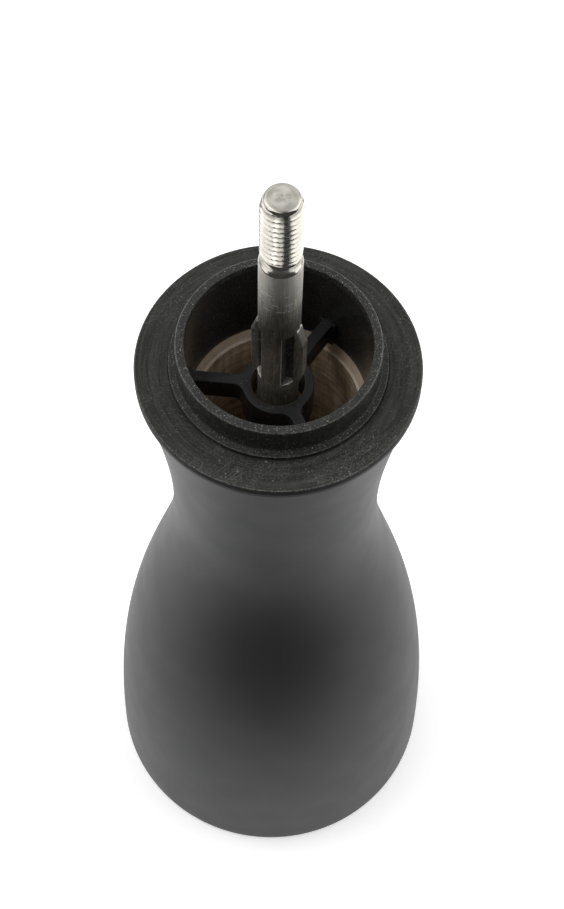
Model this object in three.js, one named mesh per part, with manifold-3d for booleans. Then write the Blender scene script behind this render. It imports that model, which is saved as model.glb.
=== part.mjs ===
// Manual pepper mill without its head: a turned wooden body with a plastic collar and bearing
// spider at the top, a grinding mechanism in the base, and the steel drive shaft that joins them.
//
// Millimetres, +Z up. The origin is the centre of the base, and the mill's axis is the Z axis.
// The shaft turns about Z, and the shaft and rotor rise by ADJUST_LIFT to grind finer.

import * as THREE from 'three';
import { mergeVertices } from 'three/addons/utils/BufferGeometryUtils.js';
import Module from 'manifold-3d';

const wasm = await Module();
wasm.setup();

// A point of an outline: radius or X, then height or Y.
const at = (r, z) => new THREE.Vector2(r, z);

// ---------------------------------------------------------------- driving dimensions

const ROUND = 48; // sides of a large round
const SMALL_ROUND = 32; // sides of a small round
const FIT = 0.2; // gap between pieces that touch
const CUT_FIT = 0.3; // gap round a piece that sits in a cut-out

// Body: an hourglass with a flat rim.
const BASE_R = 30.4;
const FOOT_ROUND = 1.0;
const BELLY_PULL = at(29.2, 63.6); // draws the curve out above the base
const WAIST_PULL = at(16.55, 69.9); // draws the curve in below the neck
const NECK = at(16.55, 98);
const FLARE_PULL = at(16.55, 113);
const FLARE_END = at(20.3, 132.6); // where the flare meets the rim's underside
const RIM_R = 20.75;
const RIM_LOW_Z = 132.9;
const RIM_ROUND = 0.7;
const TOP_Z = 134.6;

// Bores through the body, from the top down.
const SOCKET_R = 14.7; // takes the collar's sleeve
const SOCKET_FLOOR_Z = 123.2;
const SEAT_R = 16.1; // shallow seat for the collar's flange
const SEAT_DEPTH = 0.15;
const CHAMBER_R = 12.4; // holds the peppercorns
const CHAMFER = 1.1;
const POCKET_R = 16.2; // takes the mechanism's cage
const POCKET_TOP_Z = 30.2;
const RECESS_R = 21.2; // takes the base plate
const RECESS_Z = 5.0;

// Collar: a spigot with a foot flange above the rim and a sleeve below it.
const COLLAR_R = 14.7;
const COLLAR_BORE_R = 13.4;
const COLLAR_TOP_Z = 140.3;
const COLLAR_EDGE = 0.35; // radius of the spigot's top edges
const COLLAR_FILLET = 0.5; // where the spigot stands on its flange
const FLANGE_R = 15.8;
const FLANGE_H = 0.85;
const FLANGE_EDGE = 0.15;
const SLEEVE_R = 14.5;
const SLEEVE_LOW_Z = 123.5;

// Bearing spider, held in the collar's sleeve by three T-shaped arm ends.
const SPIDER_TOP_Z = 129.3;
const SPIDER_ARM_H = 4.0;
const SPIDER_ARM_W = 1.6;
const SPIDER_HUB_R = 5.3;
const SPIDER_HOLE_R = 3.95;
const SPIDER_HUB_H = 6.5;
const SPIDER_AZIMUTHS = [176, 56, -64]; // degrees from +X
const SPIDER_FILLET = 1.8;
const TEE_W = 2.8;
const TEE_T = 0.5;
const TEE_R = 12.7; // inner face of the T
const TONGUE_W = 1.3;
const TONGUE_R = 14.1;

// Drive shaft.
const SHAFT_R = 3.0;
const SHAFT_LOW_Z = 1.9;
const STUB_R = 2.4; // carries the rotor's nut
const STUB_TOP_Z = 6.3;
const FLATS_HALF = 2.4; // the rotor is driven by two flats
const FLATS_TOP_Z = 12;
const GROOVE_R = 2.5; // takes the retaining ring
const CLIP_R = 4.9;
const CLIP_OPENING = 50; // degrees to each side of +X
const STUB_EDGE = 0.4;
const SHOULDER_Z = 160.9;
const UNDERCUT_R = 2.55;
const THREAD_R = 2.9;
const THREAD_DEPTH = 0.45;
const THREAD_PITCH = 1.0;
const THREAD_LOW_Z = 162.0;
const THREAD_TOP_Z = 172.0;
const TIP_NECK = at(2.65, 173.0); // the tip's shoulder above the thread
const TIP_R = 2.3;
const TIP_EDGE = at(0.5, 0.2); // size of the tip's top edge
const TIP_Z = 173.9;

// Two drive wings, pinched out of the shaft by punches that leave a recess on each side.
const WING_AZIMUTH = -24; // degrees from +X; the other wing is opposite
const WING_R = 4.0;
const WING_BEND = at(3.65, 132.9); // its lower end curves in below here
const WING_HALF = 0.85;
const WING_Z = { root: 131.6, low: 134.8, high: 142.7, top: 146.0 };
const PUNCH_EDGE = 1.59; // distance of the recess's wall from the axis, along the wing
const PUNCH_Z = { low: 133.7, outer: 144.4, inner: 145.6 };

// Grinding gap: rotor and stator are cones of one slope, and lifting the rotor closes the gap.
const ADJUST_LIFT = 1.2;
const GRIND_SLOPE = 0.4;
const CLOSED_GAP = 0.16;
const OPEN_GAP = CLOSED_GAP + ADJUST_LIFT * GRIND_SLOPE;

const ROTOR_LOW_Z = 6.2;
const ROTOR_MID_Z = 9.2;
const ROTOR_TOP_Z = 16.3;
const ROTOR_R = 11.0;
const ROTOR_TOP_R = 6.2;
const FINE_TEETH = 36;
const FINE_DEPTH = 0.5;
const FEED_TEETH = 8;
const FEED_DEPTH = 1.6;
const FEED_TWIST = 70; // degrees over the height of the feed blades

const STATOR_R = 14.0;
const STATOR_LOW_Z = 5.5;
const STATOR_MID_Z = 9.5;
const STATOR_TOP_Z = 17.3;
const STATOR_MOUTH_R = 12.0;
const STATOR_RIBS = 12;
const STATOR_RIB_DEPTH = 1.2;

// Cage: a cup round the stator with a bearing hub on three arms.
const CAGE_R = 15.9;
const CAGE_LOW_Z = 5.3;
const CAGE_SHOULDER_Z = 17.5;
const CAGE_THROAT_R = 12.6;
const CAGE_TOP_Z = 29.8;
const CAGE_ARM_Z = 26.1;
const CAGE_ARM_W = 2.6;
const CAGE_HUB_R = 6.0;
const CAGE_FILLET = 1.5;
const GROOVE_Z = CAGE_TOP_Z + 0.8; // the shaft's groove, just above the bush

const BUSH_R = 4.3;
const BUSH_BORE_R = 3.12;
const BUSH_FLANGE_R = 5.8;
const BUSH_FLANGE_H = 0.8;

const WASHER_H = 0.7;
const SPRING_WIRE_R = 0.55;
const SPRING_R = 4.7; // to the middle of the wire
const SPRING_TURNS = 4.5;
const SPIGOT_H = 1; // centres the spring on its seat

const NUT_R = 4.6; // across the corners, halved
const NUT_H = 2.4;

const PLATE_R = 20.8;
const PLATE_HOLE_R = 14.0;
const PLATE_H = 1.5;
const PLATE_TOP_Z = 4.8;
const SCREW_CIRCLE_R = 18.5;
const SCREW_AZIMUTHS = [30, 150, 270];
const SCREW_R = 1.2;
const SCREW_HEAD_R = 2.3;
const SCREW_HEAD_H = 1.3;
const SCREW_EDGE = 0.5;
const SCREW_LENGTH = 12;
const SCREW_POINT = 3;

// ---------------------------------------------------------------- helpers

const degrees = THREE.MathUtils.degToRad;

// Points of an arc about (r, z), from one angle to another, in degrees.
function arc(r, z, radius, from, to, steps = 4) {
  return Array.from({ length: steps + 1 }, (_, i) => {
    const angle = degrees(from + ((to - from) * i) / steps);
    return at(r + radius * Math.cos(angle), z + radius * Math.sin(angle));
  });
}

function signedVolume(geometry) {
  const position = geometry.getAttribute('position');
  const corner = [0, 1, 2].map(() => new THREE.Vector3());
  let volume = 0;
  for (let i = 0; i < geometry.index.count; i += 3) {
    corner.forEach((v, k) => v.fromBufferAttribute(position, geometry.index.getX(i + k)));
    volume += corner[0].dot(corner[1].cross(corner[2])) / 6;
  }
  return volume;
}

// Keeps only positions, joins shared vertices and makes the faces point out.
function welded(geometry) {
  geometry.deleteAttribute('normal');
  geometry.deleteAttribute('uv');
  const joined = mergeVertices(geometry, 1e-4);
  if (signedVolume(joined) < 0) {
    joined.setIndex(Array.from(joined.index.array).reverse());
  }
  return joined;
}

// A ring whose section is a closed outline of (radius, height) points.
function turned(outline, sides = ROUND) {
  const geometry = new THREE.LatheGeometry([...outline, outline[0]], sides);
  return welded(geometry.rotateX(Math.PI / 2));
}

function ring(inner, outer, low, high, sides = ROUND) {
  return turned([at(inner, low), at(outer, low), at(outer, high), at(inner, high)], sides);
}

// A flat outline in X and Y, raised from one height to another.
function raised(shape, low, high) {
  const geometry = new THREE.ExtrudeGeometry(shape, { depth: high - low, bevelEnabled: false });
  return welded(geometry.translate(0, 0, low));
}

function box(x, y, z) {
  const size = [x, y, z].map(([low, high]) => high - low);
  const middle = [x, y, z].map(([low, high]) => (low + high) / 2);
  return welded(new THREE.BoxGeometry(...size).translate(...middle));
}

// A solid through a stack of rings; radius(i, level) places the i-th point of a ring.
function lofted(levels, sides, radius) {
  const positions = [];
  const index = [];
  for (const level of levels) {
    for (let i = 0; i < sides; i++) {
      const angle = (i / sides) * 2 * Math.PI + degrees(level.turn ?? 0);
      const r = radius(i, level);
      positions.push(r * Math.cos(angle), r * Math.sin(angle), level.z);
    }
  }
  for (let k = 0; k + 1 < levels.length; k++) {
    for (let i = 0; i < sides; i++) {
      const j = (i + 1) % sides;
      const [a, b] = [k * sides + i, k * sides + j];
      index.push(a, b, b + sides, a, b + sides, a + sides);
    }
  }
  const low = positions.length / 3;
  const top = (levels.length - 1) * sides;
  positions.push(0, 0, levels[0].z, 0, 0, levels.at(-1).z);
  for (let i = 0; i < sides; i++) {
    const j = (i + 1) % sides;
    index.push(low, j, i, low + 1, top + i, top + j);
  }
  const geometry = new THREE.BufferGeometry();
  geometry.setAttribute('position', new THREE.Float32BufferAttribute(positions, 3));
  geometry.setIndex(index);
  return welded(geometry);
}

function toSolid(geometry) {
  const vertProperties = new Float32Array(geometry.getAttribute('position').array);
  const triVerts = new Uint32Array(geometry.index.array);
  return new wasm.Manifold(new wasm.Mesh({ numProp: 3, vertProperties, triVerts }));
}

function toGeometry(solid) {
  const mesh = solid.getMesh();
  const geometry = new THREE.BufferGeometry();
  geometry.setAttribute('position', new THREE.BufferAttribute(mesh.vertProperties, 3));
  geometry.setIndex(new THREE.BufferAttribute(mesh.triVerts, 1));
  return geometry;
}

const joined = (first, ...rest) =>
  toGeometry(rest.reduce((solid, piece) => solid.add(toSolid(piece)), toSolid(first)));
const cut = (first, ...rest) =>
  toGeometry(rest.reduce((solid, piece) => solid.subtract(toSolid(piece)), toSolid(first)));

const turnedTo = (geometry, azimuth) => geometry.rotateZ(degrees(azimuth));

// Plan of a hub with straight arms, each blended into the hub by a fillet on both sides.
function spokedPlan(azimuths, hubR, halfWidth, fillet, reach) {
  const along = Math.sqrt((hubR + fillet) ** 2 - (halfWidth + fillet) ** 2);
  const meet = THREE.MathUtils.radToDeg(Math.atan2(halfWidth + fillet, along));
  const sorted = [...azimuths].sort((a, b) => a - b);
  const points = sorted.flatMap((azimuth, i) => {
    const next = sorted[(i + 1) % sorted.length] + (i + 1 < sorted.length ? 0 : 360);
    const arm = [
      ...arc(along, -halfWidth - fillet, fillet, 180 - meet, 90),
      at(reach, -halfWidth),
      at(reach, halfWidth),
      ...arc(along, halfWidth + fillet, fillet, -90, meet - 180),
    ];
    const origin = at(0, 0);
    arm.forEach((p) => p.rotateAround(origin, degrees(azimuth)));
    return [...arm, ...arc(0, 0, hubR, azimuth + meet, next - meet, 8).slice(1, -1)];
  });
  return new THREE.Shape(points);
}

// ---------------------------------------------------------------- body and collar

function body() {
  const foot = at(BASE_R, FOOT_ROUND);
  const belly = new THREE.CubicBezierCurve(foot, BELLY_PULL, WAIST_PULL, NECK);
  const flare = new THREE.QuadraticBezierCurve(NECK, FLARE_PULL, FLARE_END);
  const seatZ = TOP_Z - SEAT_DEPTH;
  const outline = [
    at(RECESS_R, 0),
    ...arc(BASE_R - FOOT_ROUND, FOOT_ROUND, FOOT_ROUND, -90, 0, 3),
    ...belly.getPoints(18).slice(1),
    ...flare.getPoints(9).slice(1),
    at(RIM_R, RIM_LOW_Z),
    ...arc(RIM_R - RIM_ROUND, TOP_Z - RIM_ROUND, RIM_ROUND, 0, 90, 3),
    at(SEAT_R, TOP_Z),
    at(SEAT_R, seatZ),
    at(SOCKET_R, seatZ),
    at(SOCKET_R, SOCKET_FLOOR_Z),
    at(CHAMBER_R + CHAMFER, SOCKET_FLOOR_Z),
    at(CHAMBER_R, SOCKET_FLOOR_Z - CHAMFER),
    at(CHAMBER_R, POCKET_TOP_Z),
    at(POCKET_R, POCKET_TOP_Z),
    at(POCKET_R, RECESS_Z),
    at(RECESS_R, RECESS_Z),
  ];
  const pilots = SCREW_AZIMUTHS.map((azimuth) => {
    const hole = new THREE.CylinderGeometry(SCREW_R + CUT_FIT, SCREW_R + CUT_FIT, SCREW_LENGTH, 12);
    hole.rotateX(Math.PI / 2).translate(SCREW_CIRCLE_R, 0, RECESS_Z - 1 + SCREW_LENGTH / 2);
    return welded(turnedTo(hole, azimuth));
  });
  return cut(turned(outline), ...pilots);
}

function collar() {
  const flangeLow = TOP_Z - SEAT_DEPTH + FIT / 2;
  const flangeTop = flangeLow + FLANGE_H;
  const wallFoot = flangeTop + COLLAR_FILLET;
  const rimZ = COLLAR_TOP_Z - COLLAR_EDGE;
  const outline = [
    at(COLLAR_BORE_R, SLEEVE_LOW_Z),
    at(SLEEVE_R, SLEEVE_LOW_Z),
    at(SLEEVE_R, flangeLow),
    at(FLANGE_R, flangeLow),
    at(FLANGE_R, flangeTop - FLANGE_EDGE),
    at(FLANGE_R - FLANGE_EDGE, flangeTop),
    ...arc(COLLAR_R + COLLAR_FILLET, wallFoot, COLLAR_FILLET, 270, 180, 3),
    ...arc(COLLAR_R - COLLAR_EDGE, rimZ, COLLAR_EDGE, 0, 90, 3),
    ...arc(COLLAR_BORE_R + COLLAR_EDGE, rimZ, COLLAR_EDGE, 90, 180, 3),
  ];
  const slots = SPIDER_AZIMUTHS.map((azimuth) => {
    const half = TONGUE_W / 2 + CUT_FIT;
    const slot = box(
      [COLLAR_BORE_R - 1, SLEEVE_R + 1],
      [-half, half],
      [SLEEVE_LOW_Z - 1, SPIDER_TOP_Z + CUT_FIT],
    );
    return turnedTo(slot, azimuth);
  });
  return cut(turned(outline), ...slots);
}

function bearingSpider() {
  const low = SPIDER_TOP_Z - SPIDER_ARM_H;
  const half = SPIDER_ARM_W / 2;
  const reach = TEE_R + TEE_T / 2;
  const plan = spokedPlan(SPIDER_AZIMUTHS, SPIDER_HUB_R, half, SPIDER_FILLET, reach);
  const ends = SPIDER_AZIMUTHS.flatMap((azimuth) => {
    const foot = SLEEVE_LOW_Z;
    const tee = box([TEE_R, TEE_R + TEE_T], [-TEE_W / 2, TEE_W / 2], [foot, SPIDER_TOP_Z]);
    const tongue = box(
      [TEE_R + TEE_T / 2, TONGUE_R],
      [-TONGUE_W / 2, TONGUE_W / 2],
      [foot, SPIDER_TOP_Z],
    );
    return [turnedTo(tee, azimuth), turnedTo(tongue, azimuth)];
  });
  const hubLow = SPIDER_TOP_Z - SPIDER_HUB_H;
  const hub = ring(SPIDER_HOLE_R - 0.5, SPIDER_HUB_R, hubLow, SPIDER_TOP_Z, SMALL_ROUND);
  const hole = new THREE.CylinderGeometry(SPIDER_HOLE_R, SPIDER_HOLE_R, 20, SMALL_ROUND);
  hole.rotateX(Math.PI / 2).translate(0, 0, SPIDER_TOP_Z - 5);
  return cut(joined(raised(plan, low, SPIDER_TOP_Z), hub, ...ends), welded(hole));
}

// ---------------------------------------------------------------- drive shaft

function wing(azimuth) {
  const side = new THREE.Shape([
    at(SHAFT_R - 1, WING_Z.root),
    at(SHAFT_R, WING_Z.root),
    WING_BEND,
    at(WING_R, WING_Z.low),
    at(WING_R, WING_Z.high),
    at(SHAFT_R, WING_Z.top),
    at(SHAFT_R - 1, WING_Z.top),
  ]);
  const slab = raised(side, -WING_HALF, WING_HALF);
  return turnedTo(slab.rotateX(Math.PI / 2), azimuth);
}

// The recess that a punch leaves beside a wing: +1 is its left side, -1 its right side.
function punchMark(azimuth, side) {
  const section = new THREE.Shape([
    at(WING_HALF, PUNCH_Z.low),
    at(SHAFT_R + 1, PUNCH_Z.low),
    at(SHAFT_R + 1, PUNCH_Z.outer),
    at(WING_HALF, PUNCH_Z.inner),
  ]);
  const cutter = raised(section, PUNCH_EDGE, WING_R + 1);
  cutter.rotateX(Math.PI / 2).rotateZ(Math.PI / 2);
  if (side < 0) {
    cutter.scale(1, -1, 1);
  }
  return turnedTo(welded(cutter), azimuth);
}

function shaft() {
  const grooveHigh = GROOVE_Z + WASHER_H + 2 * CUT_FIT;
  const steps = (4 * (THREAD_TOP_Z - THREAD_LOW_Z)) / THREAD_PITCH;
  const thread = Array.from({ length: steps + 1 }, (_, i) => ({
    z: THREAD_LOW_Z + (i * THREAD_PITCH) / 4,
    r: THREAD_R,
    phase: i / 4,
    depth: i === 0 || i === steps ? 0 : THREAD_DEPTH,
  }));
  const levels = [
    { z: SHAFT_LOW_Z, r: STUB_R - STUB_EDGE },
    { z: SHAFT_LOW_Z + STUB_EDGE, r: STUB_R },
    { z: STUB_TOP_Z, r: STUB_R },
    { z: STUB_TOP_Z, r: SHAFT_R },
    { z: GROOVE_Z, r: SHAFT_R },
    { z: GROOVE_Z, r: GROOVE_R },
    { z: grooveHigh, r: GROOVE_R },
    { z: grooveHigh, r: SHAFT_R },
    { z: SHOULDER_Z, r: SHAFT_R },
    { z: SHOULDER_Z + 0.4, r: UNDERCUT_R },
    { z: THREAD_LOW_Z - 0.3, r: UNDERCUT_R },
    ...thread,
    { z: TIP_NECK.y, r: TIP_NECK.x },
    { z: TIP_Z - TIP_EDGE.y, r: TIP_R },
    { z: TIP_Z, r: TIP_R - TIP_EDGE.x },
  ];
  const sides = 24;
  const rod = lofted(levels, sides, (i, { r, phase = 0, depth = 0 }) => {
    const turn = (((phase - i / sides) % 1) + 1) % 1;
    return r - depth * Math.abs(2 * turn - 1);
  });
  const flats = [1, -1].map((side) =>
    box(
      [-SHAFT_R - 1, SHAFT_R + 1],
      side > 0 ? [FLATS_HALF, SHAFT_R + 1] : [-SHAFT_R - 1, -FLATS_HALF],
      [STUB_TOP_Z - 1, FLATS_TOP_Z],
    ),
  );
  const azimuths = [WING_AZIMUTH, WING_AZIMUTH + 180];
  const winged = joined(rod, ...azimuths.map(wing));
  const marks = azimuths.flatMap((azimuth) => [punchMark(azimuth, 1), punchMark(azimuth, -1)]);
  return cut(winged, ...marks, ...flats);
}

// A retaining ring in the shaft's groove, open on one side.
function shaftClip() {
  const low = GROOVE_Z + CUT_FIT;
  const plan = new THREE.Shape([
    ...arc(0, 0, CLIP_R, CLIP_OPENING, 360 - CLIP_OPENING, 20),
    ...arc(0, 0, GROOVE_R + CUT_FIT, 360 - CLIP_OPENING, CLIP_OPENING, 16),
  ]);
  return raised(plan, low, low + WASHER_H);
}

// ---------------------------------------------------------------- grinding mechanism

// Saw-like teeth: every other point of a ring is a root.
const toothed = (i, level) => (i % 2 === 0 ? level.crest : level.root);

function rotor() {
  const midR = ROTOR_R - GRIND_SLOPE * (ROTOR_MID_Z - ROTOR_LOW_Z);
  const fine = lofted(
    [
      { z: ROTOR_LOW_Z, crest: ROTOR_R, root: ROTOR_R - FINE_DEPTH },
      { z: ROTOR_MID_Z, crest: midR, root: midR - FINE_DEPTH, turn: 12 },
    ],
    2 * FINE_TEETH,
    toothed,
  );
  const steps = 6;
  const rise = (ROTOR_TOP_Z - ROTOR_MID_Z + 0.5) / steps;
  const blades = Array.from({ length: steps + 1 }, (_, k) => {
    const crest = THREE.MathUtils.lerp(midR - 0.6, ROTOR_TOP_R, k / steps);
    const z = ROTOR_MID_Z - 0.5 + k * rise;
    return { z, crest, root: crest - FEED_DEPTH, turn: (FEED_TWIST * k) / steps };
  });
  const feed = lofted(blades, 2 * FEED_TEETH, toothed);
  const boreR = SHAFT_R + CUT_FIT;
  const bore = new THREE.CylinderGeometry(boreR, boreR, 20, SMALL_ROUND);
  bore.rotateX(Math.PI / 2).translate(0, 0, 10);
  const keys = [1, -1].map((side) => {
    const inner = FLATS_HALF + CUT_FIT;
    const depth = side > 0 ? [inner, SHAFT_R + 1] : [-SHAFT_R - 1, -inner];
    return box([-SHAFT_R - 1, SHAFT_R + 1], depth, [0, FLATS_TOP_Z - CUT_FIT]);
  });
  return cut(joined(fine, feed), cut(welded(bore), ...keys));
}

function stator() {
  const lowR = ROTOR_R + OPEN_GAP + GRIND_SLOPE * (ROTOR_LOW_Z - STATOR_LOW_Z);
  const midR = lowR - GRIND_SLOPE * (STATOR_MID_Z - STATOR_LOW_Z);
  const level = (z, crest, depth) => ({ z, crest, root: crest + depth });
  const past = 0.5; // how far the cutters reach past the ring's ends
  const fine = lofted(
    [
      level(STATOR_LOW_Z - past, lowR + GRIND_SLOPE * past, FINE_DEPTH),
      level(STATOR_MID_Z, midR, FINE_DEPTH),
    ],
    2 * FINE_TEETH,
    toothed,
  );
  const funnel = lofted(
    [
      level(STATOR_MID_Z - 0.1, midR, 0),
      level(STATOR_MID_Z + 1.5, midR, STATOR_RIB_DEPTH),
      level(STATOR_TOP_Z + past, STATOR_MOUTH_R, STATOR_RIB_DEPTH),
    ],
    2 * STATOR_RIBS,
    toothed,
  );
  return cut(ring(5, STATOR_R, STATOR_LOW_Z, STATOR_TOP_Z), fine, funnel);
}

function mechanismCage() {
  const cup = turned([
    at(STATOR_R + CUT_FIT, CAGE_LOW_Z),
    at(CAGE_R, CAGE_LOW_Z),
    at(CAGE_R, CAGE_TOP_Z),
    at(CAGE_THROAT_R, CAGE_TOP_Z),
    at(CAGE_THROAT_R, CAGE_SHOULDER_Z),
    at(STATOR_R + CUT_FIT, CAGE_SHOULDER_Z),
  ]);
  const reach = CAGE_THROAT_R + 1;
  const plan = spokedPlan(SPIDER_AZIMUTHS, CAGE_HUB_R, CAGE_ARM_W / 2, CAGE_FILLET, reach);
  const holeR = BUSH_R + CUT_FIT;
  const hole = new THREE.CylinderGeometry(holeR, holeR, 20, SMALL_ROUND);
  hole.rotateX(Math.PI / 2).translate(0, 0, CAGE_TOP_Z);
  return cut(joined(cup, raised(plan, CAGE_ARM_Z, CAGE_TOP_Z)), welded(hole));
}

function bearingBush() {
  const flangeLow = CAGE_TOP_Z + FIT / 4;
  return turned(
    [
      at(BUSH_BORE_R, CAGE_ARM_Z),
      at(BUSH_R, CAGE_ARM_Z),
      at(BUSH_R, flangeLow),
      at(BUSH_FLANGE_R, flangeLow),
      at(BUSH_FLANGE_R, flangeLow + BUSH_FLANGE_H - FIT / 2),
      at(BUSH_BORE_R, flangeLow + BUSH_FLANGE_H - FIT / 2),
    ],
    SMALL_ROUND,
  );
}

const upperWasherLow = CAGE_ARM_Z - FIT - WASHER_H;
const seatLow = ROTOR_TOP_Z + FIT;
const seatTop = seatLow + WASHER_H;

function upperSpringWasher() {
  return ring(SHAFT_R + CUT_FIT, CAGE_HUB_R, upperWasherLow, upperWasherLow + WASHER_H, SMALL_ROUND);
}

function springSeat() {
  const spigotR = SPRING_R - SPRING_WIRE_R - CUT_FIT;
  return turned(
    [
      at(SHAFT_R + CUT_FIT, seatLow),
      at(CAGE_HUB_R, seatLow),
      at(CAGE_HUB_R, seatTop),
      at(spigotR, seatTop),
      at(spigotR, seatTop + SPIGOT_H),
      at(SHAFT_R + CUT_FIT, seatTop + SPIGOT_H),
    ],
    SMALL_ROUND,
  );
}

class Helix extends THREE.Curve {
  constructor(low, high) {
    super();
    this.low = low;
    this.high = high;
  }

  getPoint(t, target = new THREE.Vector3()) {
    const angle = 2 * Math.PI * SPRING_TURNS * t;
    const z = THREE.MathUtils.lerp(this.low, this.high, t);
    return target.set(SPRING_R * Math.cos(angle), SPRING_R * Math.sin(angle), z);
  }
}

function spring() {
  const inset = SPRING_WIRE_R + FIT;
  const wire = new THREE.Shape(arc(0, 0, SPRING_WIRE_R, 0, 315, 7));
  const coil = new THREE.ExtrudeGeometry(wire, {
    extrudePath: new Helix(seatTop + inset, upperWasherLow - inset),
    steps: 12 * SPRING_TURNS,
    bevelEnabled: false,
  });
  return welded(coil);
}

function rotorWasher() {
  const top = ROTOR_LOW_Z - FIT;
  return ring(STUB_R + CUT_FIT, CAGE_HUB_R, top - WASHER_H, top, SMALL_ROUND);
}

function rotorNut() {
  const top = ROTOR_LOW_Z - 2 * FIT - WASHER_H;
  const plan = new THREE.Shape(arc(0, 0, NUT_R, 0, 300, 5));
  plan.holes.push(new THREE.Path(arc(0, 0, STUB_R + CUT_FIT, 0, 345, 23)));
  return raised(plan, top - NUT_H, top);
}

function basePlate() {
  const low = PLATE_TOP_Z - PLATE_H;
  const holes = SCREW_AZIMUTHS.map((azimuth) => {
    const hole = new THREE.CylinderGeometry(SCREW_R + CUT_FIT, SCREW_R + CUT_FIT, 6, 12);
    hole.rotateX(Math.PI / 2).translate(SCREW_CIRCLE_R, 0, PLATE_TOP_Z);
    return welded(turnedTo(hole, azimuth));
  });
  return cut(ring(PLATE_HOLE_R, PLATE_R, low, PLATE_TOP_Z), ...holes);
}

// A pan-headed wood screw, its head below the plate.
function plateScrew(azimuth) {
  const headTop = PLATE_TOP_Z - PLATE_H - FIT;
  const outline = [
    at(0, headTop - SCREW_HEAD_H),
    at(SCREW_HEAD_R - SCREW_EDGE, headTop - SCREW_HEAD_H),
    at(SCREW_HEAD_R, headTop - SCREW_HEAD_H + SCREW_EDGE),
    at(SCREW_HEAD_R, headTop),
    at(SCREW_R, headTop),
    at(SCREW_R, headTop + SCREW_LENGTH - SCREW_POINT),
    at(0, headTop + SCREW_LENGTH),
  ];
  const screw = new THREE.LatheGeometry(outline, 16).rotateX(Math.PI / 2);
  return turnedTo(welded(screw).translate(SCREW_CIRCLE_R, 0, 0), azimuth);
}

// ---------------------------------------------------------------- assembly

const FINISH = {
  lacquer: { color: 0x3a3a3c, roughness: 0.5, metalness: 0 },
  plastic: { color: 0x1d1d1e, roughness: 0.45, metalness: 0 },
  polymer: { color: 0xd8d4c8, roughness: 0.5, metalness: 0 },
  steel: { color: 0xb9b6ae, roughness: 0.3, metalness: 1 },
  hardened: { color: 0x77777a, roughness: 0.4, metalness: 1 },
  brass: { color: 0xb08d4f, roughness: 0.35, metalness: 1 },
};

const mill = new THREE.Group();

function add(name, geometry, finish) {
  const mesh = new THREE.Mesh(geometry, new THREE.MeshStandardMaterial(FINISH[finish]));
  mesh.name = name;
  mill.add(mesh);
}

add('body', body(), 'lacquer');
add('collar', collar(), 'plastic');
add('bearing_spider', bearingSpider(), 'plastic');
add('mechanism_cage', mechanismCage(), 'plastic');
add('stator', stator(), 'hardened');
add('bearing_bush', bearingBush(), 'brass');
add('upper_spring_washer', upperSpringWasher(), 'steel');
add('base_plate', basePlate(), 'steel');
SCREW_AZIMUTHS.forEach((azimuth, i) => add(`plate_screw_${i + 1}`, plateScrew(azimuth), 'steel'));
add('spring', spring(), 'steel');
add('spring_seat', springSeat(), 'polymer');
add('shaft', shaft(), 'steel');
add('shaft_clip', shaftClip(), 'steel');
add('rotor', rotor(), 'hardened');
add('rotor_washer', rotorWasher(), 'steel');
add('rotor_nut', rotorNut(), 'steel');

export default mill;
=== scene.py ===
"""Looks of the pepper mill without its head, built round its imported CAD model.

Outlines and plans are in millimetres, in the CAD model's frame; meshes are made in metres.
"""

import math

import bmesh
import bpy
import numpy as np
from mathutils import Matrix, Vector


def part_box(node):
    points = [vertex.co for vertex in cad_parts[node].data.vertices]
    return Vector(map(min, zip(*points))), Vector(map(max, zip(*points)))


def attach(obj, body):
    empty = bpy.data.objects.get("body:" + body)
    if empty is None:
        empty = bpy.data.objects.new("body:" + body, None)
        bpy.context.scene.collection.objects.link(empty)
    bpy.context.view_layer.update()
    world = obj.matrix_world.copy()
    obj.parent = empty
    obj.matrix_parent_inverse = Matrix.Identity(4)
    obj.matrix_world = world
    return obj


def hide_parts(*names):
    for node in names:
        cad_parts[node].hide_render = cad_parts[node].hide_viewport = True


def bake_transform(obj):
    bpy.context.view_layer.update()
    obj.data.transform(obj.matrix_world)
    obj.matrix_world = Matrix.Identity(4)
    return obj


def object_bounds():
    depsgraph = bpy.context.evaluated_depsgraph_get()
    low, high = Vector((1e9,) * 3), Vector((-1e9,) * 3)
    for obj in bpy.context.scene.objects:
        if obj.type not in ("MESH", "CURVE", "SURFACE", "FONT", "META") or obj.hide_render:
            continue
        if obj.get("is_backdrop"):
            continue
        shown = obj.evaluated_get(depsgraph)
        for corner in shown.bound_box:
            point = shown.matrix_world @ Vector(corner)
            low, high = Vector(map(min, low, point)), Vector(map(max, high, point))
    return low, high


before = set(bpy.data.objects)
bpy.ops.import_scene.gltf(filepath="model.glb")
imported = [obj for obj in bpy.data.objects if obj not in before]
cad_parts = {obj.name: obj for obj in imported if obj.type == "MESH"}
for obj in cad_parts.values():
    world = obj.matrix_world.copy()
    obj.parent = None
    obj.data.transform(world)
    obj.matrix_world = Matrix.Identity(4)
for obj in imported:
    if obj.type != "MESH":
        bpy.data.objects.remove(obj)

CAD_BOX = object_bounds()
MM = 0.001


def node_size(node):
    """Lowest height, highest height and reach along +X of a CAD node, in millimetres."""
    low, high = [np.array(corner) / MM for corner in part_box(node)]
    return low[2], high[2], high[0]


# -------- sizes taken from the CAD model

_, TOP_Z, BASE_R = node_size("body")
COLLAR_LOW, COLLAR_TOP, FLANGE_R = node_size("collar")
SPIDER_LOW, SPIDER_TOP, _ = node_size("bearing_spider")
SHAFT_LOW, SHAFT_TOP, WING_R = node_size("shaft")

# -------- other sizes, in millimetres

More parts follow.
